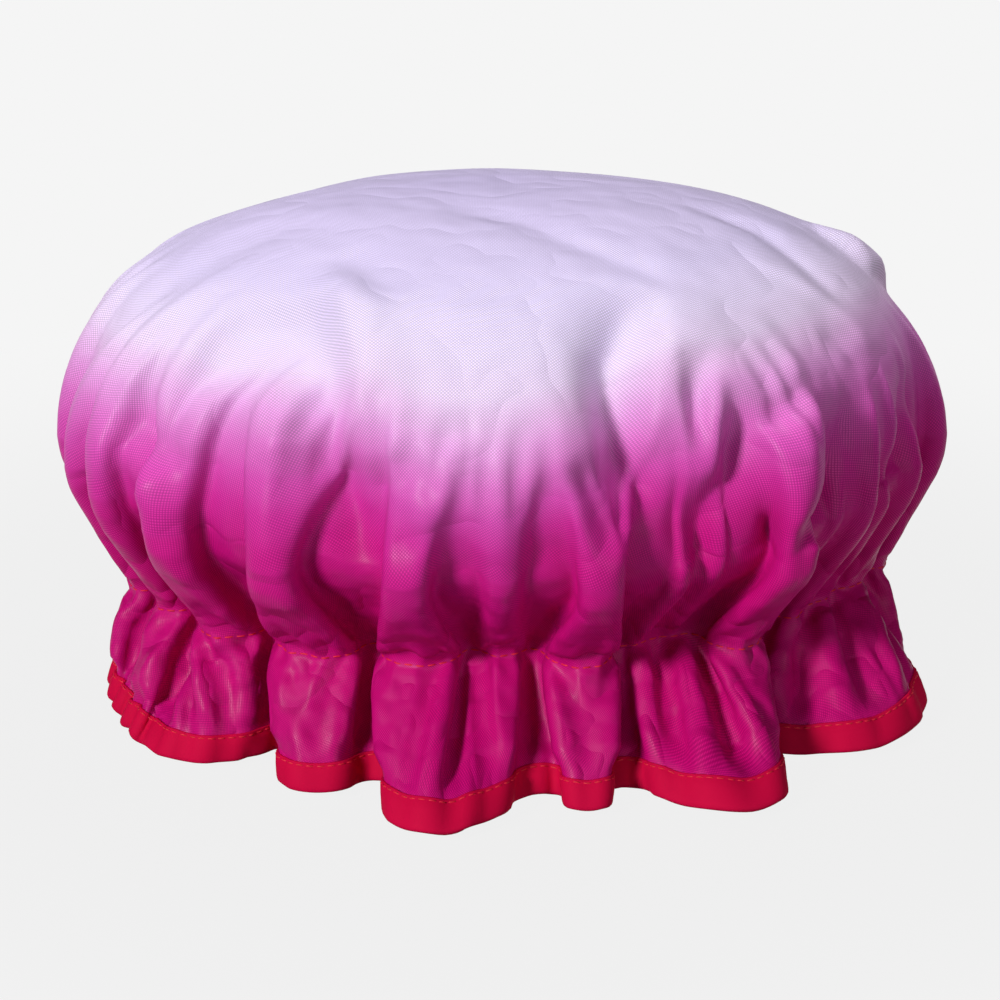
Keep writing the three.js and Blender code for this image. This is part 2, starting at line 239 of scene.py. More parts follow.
# %% Pleat valleys
VALLEYS = [
    (5, 90, 300, 3), (17, 150, 235), (28, 110, 235), (40, 60, 300, 40), (52, 160, 235),
    (62, 100, 300, 62), (75, 140, 235), (84, 165, 230), (95, 60, 300, 95), (107, 150, 235),
    (118, 110, 300, 120), (131, 160, 235), (145, 70, 300, 146), (160, 130, 235), (175, 110, 300, 172),
    (190, 70, 240), (204, 155, 235), (217, 110, 240), (233.6, 50, 300, 224.4), (250.9, 95, 300, 245.4),
    (266, 175, 235), (275, 165, 300, 274.9), (287.5, 95, 300, 287.6), (294.6, 160, 240),
    (301.2, 105, 235), (310.9, 125, 300, 308.6), (317.3, 80, 300, 313.5), (326.3, 115, 240),
    (337, 70, 235), (350, 105, 235),
]
FADE_UP = 50 * MM
FADE_DOWN = 18 * MM
CREASE = 0.14
STEEPEST = 1.9
FAINT_VALLEY = 1e-3
FAINT_PULL = 1e-4
WAIST_REACH = 24 * MM
CROWN_REACH = 34 * MM
CROWN_REACH_TO = 0.6
HEM_REACH = 60 * MM
WAIST_EASE = 0.70
HEM_EASE = 0.75
GATHER_FROM, GATHER_OVER = 0.72, 0.28
RIDGE_QUANTILE = 0.65
CALM_FROM = 30 * MM
CALM_OVER = 90 * MM
SAMPLES_PER_COLUMN = 8
SHARE_PASSES = 30
INSET_PASSES = 4
HALVINGS = 30
SMOOTHING = 12

valley_turn = np.radians([v[0] for v in VALLEYS])
valley_start = np.array([v[1] for v in VALLEYS]) * MM
valley_end = np.array([v[2] for v in VALLEYS]) * MM
hem_valleys = np.array([v for v in VALLEYS if len(v) == 4])
valley_hem = valley_turn + np.radians(np.interp(
    np.degrees(valley_turn), hem_valleys[:, 0], hem_valleys[:, 3] - hem_valleys[:, 0], period=360))
fine_angle = 2 * np.pi * np.arange(COLUMNS * SAMPLES_PER_COLUMN) / (COLUMNS * SAMPLES_PER_COLUMN)


# %% Valleys on a ring
def valley_strengths(radius):
    """How strong every valley is on a ring: it grows from its start, and fades near its end."""
    grown = smooth((radius - valley_start) / FADE_UP)
    return grown * (1 - smooth((radius - valley_end) / FADE_DOWN + 1) * (valley_end < CUT_RADIUS))


def ease_of(radius):
    """How much of its cut length a ring keeps: the elastic draws the gathers in, and the tape the hem."""
    late = smooth((radius - GATHER_FROM * waist_radius) / (GATHER_OVER * waist_radius))
    return 1 - late * (1 - WAIST_EASE) + smooth(below_elastic(radius)) * (HEM_EASE - WAIST_EASE)


def circle_gap(angle):
    """An angle brought into the range from minus half a turn to half a turn."""
    return (angle + np.pi) % (2 * np.pi) - np.pi


# %% Folding one ring
def oval_walk(halves, count=2048):
    """Angles round an oval and the distance walked to each of them."""
    angle = np.linspace(0, 2 * np.pi, count + 1)
    point = np.stack([halves[0] * np.cos(angle), halves[1] * np.sin(angle)], axis=-1)
    return angle, walked_along(point)


def heading_of(walked_cloth, length, valley_at, strengths, reach):
    """The cloth's heading along a ring: beside a valley it is steep, and it flattens over the reach."""
    away = (walked_cloth[:, None] - valley_at + length / 2) % length - length / 2
    away = away / reach
    turn = np.sign(away) * np.clip(1 - np.abs(away), 0, 1) * (1 - np.exp(-(away / CREASE) ** 2))
    near = np.exp(-np.abs(away)) * (strengths ** 2 + FAINT_PULL)
    return turn @ strengths, near


def fold_ring(radius, halves, cloth_angle, strengths, reach):
    """One ring folded round its oval: distance walked along the oval and height above it.

    All headings are scaled by one number, found by halving, so that the folded ring spans the oval once.
    """
    steps = np.full(len(fine_angle), radius * ease_of(radius) * fine_angle[1])
    walked_cloth = np.cumsum(steps)
    length = walked_cloth[-1]
    valley_at = np.interp(cloth_angle % (2 * np.pi), fine_angle, walked_cloth)
    heading, near = heading_of(walked_cloth, length, valley_at, strengths, reach)
    inset = 0.0
    for _ in range(INSET_PASSES):
        angle, walked = oval_walk(halves - inset)
        low, high = 0.0, STEEPEST
        for _ in range(HALVINGS):
            middle = (low + high) / 2
            too_long = (np.cos(middle * heading) * steps).sum() > walked[-1]
            low, high = (middle, high) if too_long else (low, middle)
        out = np.cumsum(np.sin(low * heading) * steps)
        at_valley = np.interp(cloth_angle % (2 * np.pi), fine_angle, out)
        out -= (near @ at_valley) / near.sum(axis=1)
        inset = 0.5 * inset + 0.5 * np.quantile(out, RIDGE_QUANTILE)
    along = np.cumsum(np.cos(low * heading) * steps)
    return np.interp(along * walked[-1] / along[-1], walked, angle), out, halves - inset


# %% Sharing the cloth out between the valleys
def share_cloth():
    """Angles on the cut at which the valleys must lie, so that the gathers put them in their places."""
    strengths = np.ones(len(VALLEYS))
    cloth_angle = valley_turn.copy()
    for _ in range(SHARE_PASSES):
        turned, _, _ = fold_ring(waist_radius, waist_half, cloth_angle, strengths, WAIST_REACH)
        error = circle_gap(valley_turn - np.interp(cloth_angle % (2 * np.pi), fine_angle, turned))
        cloth_angle = cloth_angle + 0.5 * (error - error.mean())
    print(f"valleys placed to {np.degrees(np.abs(error - error.mean()).max()):.2f} degrees")
    return cloth_angle


ring_reach = np.interp(ring_radius, [0, CROWN_REACH_TO * waist_radius, waist_radius, CUT_RADIUS],
                       [CROWN_REACH, CROWN_REACH, WAIST_REACH, HEM_REACH])
valley_cloth = share_cloth()


# %% Folding the whole cut
def smooth_along_spokes(values):
    """Rings averaged with their neighbours, except the middle, the elastic's ring and the hem."""
    values = values.copy()
    for _ in range(SMOOTHING):
        mean = (values[:-2] + 2 * values[1:-1] + values[2:]) / 4
        mean[WAIST_RING - 1] = values[WAIST_RING]
        values[1:-1] = mean
    return values


def folded_cut():
    """The whole cut folded by hand: each ring's turn round the cap and depth under the form, as points."""
    at = slice(0, None, SAMPLES_PER_COLUMN)
    turned = np.tile(spoke_angle, (RINGS + 1, 1))
    depth = np.zeros((RINGS + 1, COLUMNS))
    for ring in range(1, RINGS + 1):
        radius = ring_radius[ring]
        strengths = valley_strengths(radius) + FAINT_VALLEY
        turn, out, halves = fold_ring(radius, ring_halves[ring], valley_cloth, strengths, ring_reach[ring])
        places = np.interp(valley_cloth % (2 * np.pi), fine_angle, turn)
        wanted = valley_cloth + smooth(radius / waist_radius) * (valley_turn - valley_cloth)
        wanted += smooth(below_elastic(radius)) * (valley_hem - valley_turn)
        error = circle_gap(wanted - places)
        turned[ring] = turn[at] + np.interp(spoke_angle, valley_cloth, error, period=2 * np.pi)
        depth[ring] = (out[at] - (ring_halves[ring] - halves)[0]) * smooth((radius - CALM_FROM) / CALM_OVER)
    turned = smooth_along_spokes(turned)
    depth = smooth_along_spokes(depth)
    plan = np.stack([np.cos(turned), np.sin(turned)], axis=-1)
    normal = unit(plan / ring_halves.clip(1 * MM)[:, None])
    height = np.repeat(ring_heights[:, None], COLUMNS, axis=1)
    dome = ring_radius < bulge_radius
    share = (ring_halves[dome, 0] / bulge_half[0])[:, None]
    power = dome_power(plan[dome] * bulge_half)
    height[dome] = BULGE_HEIGHT + (crown_top - BULGE_HEIGHT) * (1 - share ** power) ** (1 / power)
    lift = depth * np.cos(ring_tilt)[:, None]
    points = np.empty((RINGS + 1, COLUMNS, 3))
    points[..., :2] = plan * ring_halves[:, None] + lift[..., None] * normal
    points[..., 2] = height + depth * (np.sin(ring_tilt) * (ring_radius < waist_radius))[:, None]
    points[..., :2] += smooth(below_elastic(ring_radius))[:, None, None] * HEM_SHIFT
    points[..., 2] -= TOP_LEAN * points[..., 0] * np.maximum(points[..., 2] / crown_top, 0) ** 2
    return points


cloth_points = folded_cut()
print("folded cut spans", np.round(np.ptp(cloth_points.reshape(-1, 3), axis=0) / MM, 1), "mm")

# %% [markdown]
# ## Creases, ridges and dents
# The pleats alone look too even. Real cloth also has single creases, ridges and dents. Each is a stroke on
# the spread-out crown: a line through a few places, a height or depth, and a width. A soft stroke has a
# round section, and a sharp one has a kink in its middle. The broad strokes come before the cloth settles,
# so that it settles round them. The fine ones come after, or the settling would iron them out. These move
# the cloth along normals that are averaged round the rings: along the folds' own normals they would tear
# its valleys.
#
# A row is a stroke: its height and its width in mm, its sharpness, and its places, as degrees round the
# cap and mm from the middle.

# %% Strokes
STROKES = [
    (-5, 9, 0, (210, 108), (212, 119), (209, 132), (207, 146)),
    (-6, 7, 0.4, (213, 130), (219, 139), (222, 148), (224, 161)),
    (4, 8, 0, (220, 130), (225, 139), (233, 152)),
    (-9, 16, 0, (205, 61), (221, 83), (224, 101), (226, 119), (225, 132)),
    (-15, 9, 0.4, (240, 92), (246, 108), (249, 121), (253, 134), (256, 146), (258, 157)),
    (6, 6, 0.4, (230, 67), (247, 94), (251, 110), (254, 123), (256, 137)),
    (5, 15, 0, (233, 94), (237, 119), (238, 137), (239, 152)),
    (-13, 8, 0.4, (296, 81), (288, 99), (286, 112), (286, 123), (288, 137), (288, 148), (288, 161)),
    (-7, 6, 0.6, (279, 126), (280, 137), (283, 146), (283, 161)),
    (-6, 9, 0.2, (271, 137), (274, 139), (277, 148), (277, 157)),
    (7, 7, 0.3, (295, 94), (293, 112), (292, 130), (290, 148)),
    (-12, 5.5, 0.5, (297, 110), (296, 126), (294, 141), (291, 157)),
    (6, 6, 0.3, (302, 108), (300, 121), (298, 134), (294, 152)),
    (-10, 5.5, 0.5, (303, 126), (300, 139), (300, 161)),
    (5, 12, 0, (306, 128), (304, 143), (302, 159)),
    (-6, 5.5, 0.5, (324, 108), (321, 121), (318, 134), (316, 143)),
    (-10, 6, 0.4, (341, 123), (324, 132), (320, 141), (317, 152), (320, 184)),
    (6, 7, 0.3, (325, 126), (320, 139), (316, 155)),
    (-10, 6, 0.4, (332, 137), (327, 155), (319, 166)),
]
FINE_STROKES = [
    (6, 9, 0.2, (222, 63), (238, 74), (247, 90), (251, 105), (252, 119), (253, 139), (257, 150)),
    (-8, 9, 0.3, (231, 76), (240, 90), (245, 103), (247, 117), (249, 134), (251, 148), (253, 168)),
    (-4, 8, 0.2, (253, 123), (256, 134), (259, 146), (259, 157)),
    (-8, 8, 0.4, (301, 69), (291, 83), (287, 94), (286, 105), (286, 117), (288, 130), (290, 141), (289, 152)),
    (5, 9, 0.2, (301, 78), (296, 96), (294, 114), (294, 132), (293, 150)),
    (-5, 6, 0.5, (279, 119), (281, 130), (282, 139), (284, 152)),
    (-6, 6, 0.5, (305, 92), (299, 103), (296, 117), (295, 130), (295, 146), (295, 166)),
    (4, 6, 0.3, (304, 96), (300, 110), (298, 126), (296, 141)),
    (-6, 6, 0.5, (305, 110), (302, 121), (299, 134), (297, 150), (299, 175)),
    (4, 10, 0.2, (324, 108), (313, 121), (307, 137), (307, 164)),
    (-6, 6, 0.5, (330, 121), (323, 132), (319, 148), (308, 155), (308, 173)),
    (-4, 5, 0.6, (319, 112), (309, 119), (305, 121), (302, 121)),
    (-5, 8, 0.3, (211, 123), (215, 134), (226, 139), (227, 159), (229, 179)),
    (4, 9, 0.2, (208, 132), (212, 143), (225, 148), (226, 173)),
    (-4, 14, 0, (227, 78), (229, 92), (229, 103), (229, 117)),
    (4, 14, 0.1, (230, 110), (239, 114), (244, 121), (246, 132)),
    (-5, 10, 0.1, (349, 128), (344, 141), (340, 152), (327, 157)),
    (2.5, 7, 0.4, (328, 72), (332, 90), (334, 105), (336, 119)),
    (-2, 4, 0.6, (256, 121), (258, 128), (259, 134)),
    (-2, 4, 0.6, (257, 119), (261, 128), (262, 137)),
    (-1.5, 5, 0.5, (268, 112), (264, 114), (262, 119)),
    (-1.4, 6, 0.4, (167, 13), (270, 20), (294, 43), (304, 63), (306, 81)),
    (-2, 6, 0.5, (327, 74), (331, 92), (333, 105), (333, 119)),
    (-2, 5, 0.5, (359, 45), (352, 65), (341, 85), (334, 108)),
    (-1.5, 5, 0.5, (326, 101), (330, 112), (330, 123)),
    (-1.3, 5, 0.6, (222, 56), (239, 63), (251, 74)),
    (-2, 12, 0, (188, 117), (197, 92), (195, 69), (186, 49)),
    (5, 12, 0.3, (1, 92), (6, 103), (3, 114)),
]
SHARP_ROUNDING = 0.25
STROKE_FADE = 0.3
CALM_PASSES = 36
CALM_STEP = 4
GATHERS = 84
GATHER_SEED = 7
GATHER_WIDTH, GATHER_SHARP = 5, 0.4
STROKE_REACH = 5


# %% Drawing a stroke
def sheet_normals(sheet):
    """Outward unit normals of rings of points that close round."""
    around = np.roll(sheet, -1, axis=1) - np.roll(sheet, 1, axis=1)
    normal = unit(np.cross(np.gradient(sheet, axis=0), around))
    normal[0] = normal[1].mean(axis=0)
    return normal


def spread(turn, down):
    """Places on the spread-out cap: a turn in radians and a distance from the middle, as plane points."""
    return np.stack([down * np.cos(turn), down * np.sin(turn)], axis=-1)


def stroke_line(places, count=24):
    """A smooth line through the places: the turn and the way down each follow a curve through the knots."""
    knots = np.array(places, float) * np.array([np.pi / 180, MM])
    along = walked_along(spread(*knots.T))
    slope = np.gradient(knots, along, axis=0)
    place = np.linspace(0, along[-1], count)
    piece = np.clip(np.searchsorted(along, place, side="right") - 1, 0, len(along) - 2)
    gap = along[piece + 1] - along[piece]
    share = ((place - along[piece]) / gap)[:, None]
    gap = gap[:, None]
    bend = (1 - share) ** 2 * share * gap * slope[piece] - share ** 2 * (1 - share) * gap * slope[piece + 1]
    blend = smooth(share)
    return spread(*((1 - blend) * knots[piece] + blend * knots[piece + 1] + bend).T)


def stroke_height(place, line, width, sharp):
    """A stroke's share of its height at each place: it falls off beside the line and fades at both ends."""
    first, step = line[:-1], np.diff(line, axis=0)
    away = place[:, None] - first
    share = np.clip((away * step).sum(axis=-1) / (step ** 2).sum(axis=-1), 0, 1)
    gap = np.linalg.norm(away - share[..., None] * step, axis=-1)
    nearest = gap.argmin(axis=1)
    rows = np.arange(len(place))
    along = (nearest + share[rows, nearest]) / len(step)
    off = gap[rows, nearest] / width
    kink = np.exp(SHARP_ROUNDING - np.hypot(off, SHARP_ROUNDING))
    section = (1 - sharp) * np.exp(-off ** 2) + sharp * kink * np.exp(-(off / 3) ** 2)
    return section * smooth(along / STROKE_FADE) * smooth((1 - along) / STROKE_FADE)


# %% Gathers and creases
def gathers():
    """Small ridges across the elastic's seam, all round the cap, with seeded random sizes."""
    rng = np.random.default_rng(GATHER_SEED)
    seam = waist_radius / MM
    turn = (np.arange(GATHERS) + rng.uniform(-0.3, 0.3, GATHERS)) * 360 / GATHERS
    above, below = rng.uniform(12, 42, GATHERS), rng.uniform(14, 46, GATHERS)
    drift = rng.uniform(-3, 3, (2, GATHERS))
    rise = rng.uniform(0.6, 2.0, GATHERS)
    return [(h, GATHER_WIDTH, GATHER_SHARP, (t + a, seam - u), (t, seam), (t + b, seam + v))
            for h, t, a, b, u, v in zip(rise, turn, *drift, above, below)]


def calm_normals(sheet):
    """The sheet's normals averaged round its rings, so that they no longer follow the single folds."""
    normal = sheet_normals(sheet)
    for _ in range(CALM_PASSES):
        normal = (np.roll(normal, CALM_STEP, axis=1) + 2 * normal + np.roll(normal, -CALM_STEP, axis=1)) / 4
    return unit(normal)


def creased(sheet, strokes, normal):
    """The sheet with strokes added along the given normals."""
    turn = np.arctan2(sheet[..., 1] / bulge_half[1], sheet[..., 0] / bulge_half[0])
    down = np.linspace(0, CUT_RADIUS, len(sheet))[:, None] + 0 * turn
    place = spread(turn, down).reshape(-1, 2)
    total = np.zeros(len(place))
    for height, width, sharp, *places in strokes:
        line = stroke_line(places)
        middle = line.mean(axis=0)
        reach = np.linalg.norm(line - middle, axis=1).max() + STROKE_REACH * width * MM
        near = np.flatnonzero(np.linalg.norm(place - middle, axis=1) < reach)
        total[near] += height * MM * stroke_height(place[near], line, width * MM, sharp)
    return sheet + total.reshape(turn.shape)[..., None] * normal


cloth_points = creased(cloth_points, STROKES, sheet_normals(cloth_points))
print(len(STROKES), "strokes before the cloth settles,", len(FINE_STROKES) + GATHERS, "after it")

# %% [markdown]
# ## Settling
# The folded cut is only a guess: some of its cloth is stretched and some is squeezed. Position-based
# dynamics mends that. Every pair of neighbours on the cut has a length that it must keep. Each pass moves
# both ends of every pair half the way to that length, over and over, while the stuffing holds the crown
# out, the elastic's ring stays in its place, and the table stops the hem. All spokes of a ring get one
# short length, so the cloth is taut down the crown and its slack goes into folds that run straight. Pairs
# that share no point are handled together, as whole arrays.

# %% Settling
STEPS = 16
PASSES = 8
DAMPING = 0.5
STRETCH = 1.0
SHEAR = 0.5
BEND = 0.6
LONG_BEND = 0.06
LONG_SPAN = 6
LONG_FIRST_RING, LONG_LAST_RING = 4, 40
HEM_HOLD = 0.6
HEM_RINGS = 4
TAUT_QUANTILE = 0.10
TOP_RINGS = 7
CALM_LENGTH = 14 * MM
CALM_RADIUS = 130 * MM
TOP_RISE = 0.6 * MM
FLOOR_HEIGHT = 0.9 * MM
TABLE_GRIP = 0.5
LEAST_DEPTH = 0.2

grid = np.arange((RINGS + 1) * COLUMNS).reshape(RINGS + 1, COLUMNS)
cut_edge = 2 * ring_radius[:, None] * np.sin(np.pi / COLUMNS)
ring_edge = np.linalg.norm(np.roll(cloth_points, -1, axis=1) - cloth_points, axis=-1)
ring_edge = np.clip(ring_edge, cut_edge * ease_of(ring_radius[:, None]), cut_edge)
radial_edge = np.linalg.norm(np.diff(cloth_points, axis=0), axis=-1)
radial_edge = np.quantile(radial_edge, TAUT_QUANTILE, axis=1, keepdims=True)
print(f"spokes: {radial_edge[:WAIST_RING].sum() / MM:.0f} mm to the elastic,",
      f"{radial_edge.sum() / MM:.0f} mm to the hem")
radial_edge = np.repeat(radial_edge, COLUMNS, axis=1)


# %% Pairs that keep their lengths
def pair_batch(first, second, rest, stiffness, one_sided=False):
    """Pairs of points that share no point, with their rest lengths and each end's share of the correction."""
    first, second = first.ravel(), second.ravel()
    free = np.ones(grid.size)
    free[grid[WAIST_RING]] = 0
    weight = free[first] + free[second]
    keep = weight > 0
    first, second, weight = first[keep], second[keep], weight[keep]
    rest = np.ravel(rest)[keep]
    share = np.stack([free[first] / weight, free[second] / weight])[..., None].astype(np.float32)
    return first, second, rest.astype(np.float32), share * np.float32(stiffness), one_sided


def all_batches():
    """Every pair of the cut: along rings and spokes, across both ways, and farther apart for stiffness."""
    batches = []
    ahead = np.roll(grid, -1, axis=1)
    for parity in (0, 1):
        rows = slice(1, None)
        some = slice(parity, None, 2)
        batches.append(pair_batch(grid[rows, some], ahead[rows, some], ring_edge[rows, some], STRETCH))
    for parity in (0, 1):
        upper = np.arange(parity, RINGS, 2)
        batches.append(pair_batch(grid[upper], grid[upper + 1], radial_edge[upper], STRETCH))
        across = np.hypot(radial_edge[upper], (ring_edge[upper] + ring_edge[upper + 1]) / 2)
        batches.append(pair_batch(grid[upper], ahead[upper + 1], across, SHEAR))
        batches.append(pair_batch(ahead[upper], grid[upper + 1], across, SHEAR))
    for start in (0, 2):
        columns = np.flatnonzero(np.arange(COLUMNS) % 4 // 2 == start // 2)
        beyond = np.roll(grid, -2, axis=1)
        rest = 2 * ring_edge[1:, columns]
        batches.append(pair_batch(grid[1:, columns], beyond[1:, columns], rest, BEND, True))
        rows = np.flatnonzero(np.arange(RINGS - 1) % 4 // 2 == start // 2)
        rest = radial_edge[rows] + radial_edge[rows + 1]
        batches.append(pair_batch(grid[rows], grid[rows + 2], rest, BEND, True))
    for lag in (0, 1):
        block = np.flatnonzero(np.arange(COLUMNS) % (2 * LONG_SPAN) // LONG_SPAN == lag)
        beyond = np.roll(grid, -LONG_SPAN, axis=1)
        rows = slice(LONG_FIRST_RING, LONG_LAST_RING)
        batches.append(pair_batch(grid[rows, block], beyond[rows, block],
                                  LONG_SPAN * ring_edge[rows, block], LONG_BEND, True))
    return batches


# %% Steps of settling
def keep_length(points, batch):
    """Move both ends of every pair towards its rest length; one-sided pairs only push apart."""
    first, second, rest, share, one_sided = batch
    gap = points[second] - points[first]
    excess = 1 - rest / np.sqrt(np.einsum("ij,ij->i", gap, gap) + 1e-12)
    if one_sided:
        excess = np.minimum(excess, 0)
    move = excess[:, None] * gap
    points[first] += share[0] * move
    points[second] -= share[1] * move


def outside_form(points):
    """Points of the crown that lie inside the stuffing, moved out to its face."""
    crown = points[:WAIST_RING * COLUMNS]
    up = np.maximum(crown[:, 2] - BULGE_HEIGHT, 0) / (crown_top - BULGE_HEIGHT)
    under = slice(profile_bulge, profile_waist)
    halves = np.stack([
        np.interp(-crown[:, 2], -profile_heights[under], profile_halves[under, axis]) for axis in (0, 1)
    ], axis=-1) - STUFFING_INSET
    plan = np.sum((crown[:, :2] / halves) ** 2, axis=1)
    power = dome_power(crown)
    depth = np.maximum((plan ** (power / 2) + up ** power) ** (1 / power), LEAST_DEPTH)
    grow = np.maximum(1 / depth, 1)[:, None].astype(np.float32)
    crown[:, :2] *= grow
    crown[:, 2] += np.maximum(crown[:, 2] - BULGE_HEIGHT, 0) * (grow[:, 0] - 1)


def settle(start):
    """The cloth after it has settled from a start shape."""
    batches = all_batches()
    points = start.reshape(-1, 3).astype(np.float32)
    held = points.copy()
    motion = np.zeros_like(points)
    hem = grid[-HEM_RINGS:].ravel()
    fixed = grid[WAIST_RING]
    for _ in range(STEPS):
        before = points.copy()
        points += motion
        points[fixed] = held[fixed]
        for _ in range(PASSES):
            for batch in batches:
                keep_length(points, batch)
            points[:COLUMNS] = points[:COLUMNS].mean(axis=0)
        outside_form(points)
        points[hem] += HEM_HOLD * (held[hem] - points[hem])
        sunk = points[:, 2] < FLOOR_HEIGHT
        points[sunk, 2] = FLOOR_HEIGHT
        motion = DAMPING * (points - before)
        motion[sunk] *= TABLE_GRIP
    speed = np.linalg.norm(motion, axis=1)
    print(f"settled: mean motion {speed.mean() / MM:.3f} mm a step, largest {speed.max() / MM:.2f} mm")
    return points.reshape(start.shape).astype(float)


# %% Smoothing the settled sheet
def calm_top(sheet):
    """The sheet with fine waves round its inner rings removed, where the spokes crowd together.

    Each ring is a sum of waves. A wave fades if it is shorter than the calm length, which is 0 far out.
    """
    wave = np.arange(COLUMNS // 2 + 1)
    calm = CALM_LENGTH * (1 - smooth(ring_radius / CALM_RADIUS))
    fade = np.exp(-0.5 * (wave * (calm / np.maximum(ring_radius, 1 * MM))[:, None]) ** 2)
    return np.fft.irfft(np.fft.rfft(sheet, axis=1) * fade[..., None], COLUMNS, axis=1)


def round_top(sheet):
    """The sheet with a smooth cap inside one small ring, where the narrow spokes would pinch."""
    share = (np.arange(TOP_RINGS) / TOP_RINGS)[:, None, None]
    rim = sheet[TOP_RINGS]
    middle = rim.mean(axis=0) + np.array([0, 0, TOP_RISE])
    capped = sheet.copy()
    capped[:TOP_RINGS] = middle + share * (rim - middle)
    capped[:TOP_RINGS, :, 2] += TOP_RISE * (share - share ** 2)[..., 0]
    return capped


def finer(sheet):
    """Twice the columns and rings, through smooth curves: each new point leans on its four neighbours."""
    def between(a, b, c, d):
        return (9 * (b + c) - (a + d)) / 16
    side = between(np.roll(sheet, 1, axis=1), sheet, np.roll(sheet, -1, axis=1), np.roll(sheet, -2, axis=1))
    wide = np.stack([sheet, side], axis=2).reshape(len(sheet), -1, sheet.shape[-1])
    half = wide.shape[1] // 2
    over = np.roll(wide[1], half, axis=0)[None]
    end = (2 * wide[-1] - wide[-2])[None]
    long = np.concatenate([over, wide, end])
    middle = between(long[:-3], long[1:-2], long[2:-1], long[3:])
    full = np.empty((2 * len(wide) - 1, *wide.shape[1:]))
    full[::2] = wide
    full[1::2] = middle
    return full


# %% Settle the cloth
cloth_points = settle(cloth_points)
cloth_points = finer(round_top(calm_top(cloth_points)))
cloth_points = creased(cloth_points, FINE_STROKES + gathers(), calm_normals(cloth_points))
cut_points = finer(flat)
print("settled cloth spans", np.round(np.ptp(cloth_points.reshape(-1, 3), axis=0) / MM, 1), "mm")

# %% [markdown]
# ## From grids to pieces
# Everything below is made from the settled sheet. A helper turns rings of points into a mesh and ties the
# piece to the frame: it rides on the one body and stands for a CAD node.

# %% Helpers for pieces
def make_piece(name, vertex, faces, node, face_uv=None):
    """A smooth mesh object that rides on the cap and stands for one CAD node."""
    mesh = bpy.data.meshes.new(name)
    mesh.from_pydata(np.asarray(vertex).reshape(-1, 3).tolist(), [], faces)
    mesh.polygons.foreach_set("use_smooth", np.ones(len(mesh.polygons), bool))
    if face_uv is not None:
        layer = mesh.uv_layers.new(name="cut")
        layer.data.foreach_set("uv", np.asarray(face_uv, np.float32).ravel())
    mesh.update()
    piece = bpy.data.objects.new(name, mesh)
    bpy.context.scene.collection.objects.link(piece)
    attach(piece, "root")
    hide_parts(node)
    print(f"{name}: {len(mesh.polygons)} faces")
    return piece


def grid_quads(rows, columns, closed):
    """Faces between neighbouring rows and columns of a grid, and round its seam if it closes."""
    index = np.arange(rows * columns).reshape(rows, columns)
    ahead = np.roll(index, -1, axis=1)
    quads = np.stack([index[:-1], index[1:], ahead[1:], ahead[:-1]], axis=-1)
    return (quads if closed else quads[:, :-1]).reshape(-1, 4)


def round_piece(name, sheet, uv, node):
    """A piece from rings of points whose first ring is a single point."""
    rings, columns = sheet.shape[:2]
    quads = grid_quads(rings - 1, columns, True) + 1
    rim = np.arange(columns)
    fan = np.stack([0 * rim, rim + 1, np.roll(rim, -1) + 1], axis=-1)
    vertex = np.concatenate([sheet[0].mean(axis=0)[None], sheet[1:].reshape(-1, 3)])
    vertex_uv = np.concatenate([uv[0].mean(axis=0)[None], uv[1:].reshape(-1, 2)])
    corner = np.concatenate([fan.ravel(), quads.ravel()])
    return make_piece(name, vertex, fan.tolist() + quads.tolist(), node, vertex_uv[corner])


# %% [markdown]
# ## Cloth and lining
# The cloth is the settled sheet itself. The film lies just inside it and follows every fold.

# %% Cloth and lining
LINING_INSET = 0.4 * MM

cloth_normal = sheet_normals(cloth_points)
outer = round_piece("outer_cloth_draped", cloth_points, cut_points, "outer_cloth")
lining = round_piece("lining_draped", cloth_points - LINING_INSET * cloth_normal, cut_points,
                     "waterproof_lining")

# %% [markdown]
# ## Binding
# The tape is a U in section: a leaf outside the cloth, a fold under the hem and a leaf inside the lining.
# Each point of the section is a distance up from the hem and a height off the cloth, so the tape follows
# the ruffle's waves. Its ends meet at the nape.

# %% Binding
TAPE_SECTION = np.array([
    (11.0, 0.05), (11.05, 0.50), (10.6, 0.78), (9.9, 0.60), (9.0, 0.86), (6.5, 0.95), (3.5, 0.92),
    (1.2, 0.85), (0.1, 0.66), (-0.45, 0.25), (-0.55, -0.40), (-0.45, -1.05), (0.1, -1.46), (3.5, -1.72),
    (9.0, -1.66), (9.9, -1.42), (10.6, -1.58), (11.05, -1.30), (11.0, -0.86),
]) * MM
FOLD_ROW = 8
SEAM_GAP = 0.3 * MM

spoke_step = CUT_RADIUS / (len(cloth_points) - 1)
fine_columns = cloth_points.shape[1]


def near_hem(up, off):
    """Points a given way up the spokes from the hem and a given height off the cloth, for all columns."""
    place = len(cloth_points) - 1 - np.asarray(up) / spoke_step
    low = np.clip(np.floor(place).astype(int), 0, len(cloth_points) - 2)
    share = (place - low)[:, None, None]
    point = cloth_points[low] * (1 - share) + cloth_points[low + 1] * share
    normal = unit(cloth_normal[low] * (1 - share.clip(0, 1)) + cloth_normal[low + 1] * share.clip(0, 1))
    return point + np.asarray(off)[:, None, None] * normal, normal


tack_low, tack_high = (np.array(v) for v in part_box("binding_join_tack"))
tack_middle = (tack_low + tack_high) / 2
seam_column = int(np.argmin(np.linalg.norm(cloth_points[-1, :, :2] - tack_middle[:2], axis=1)))

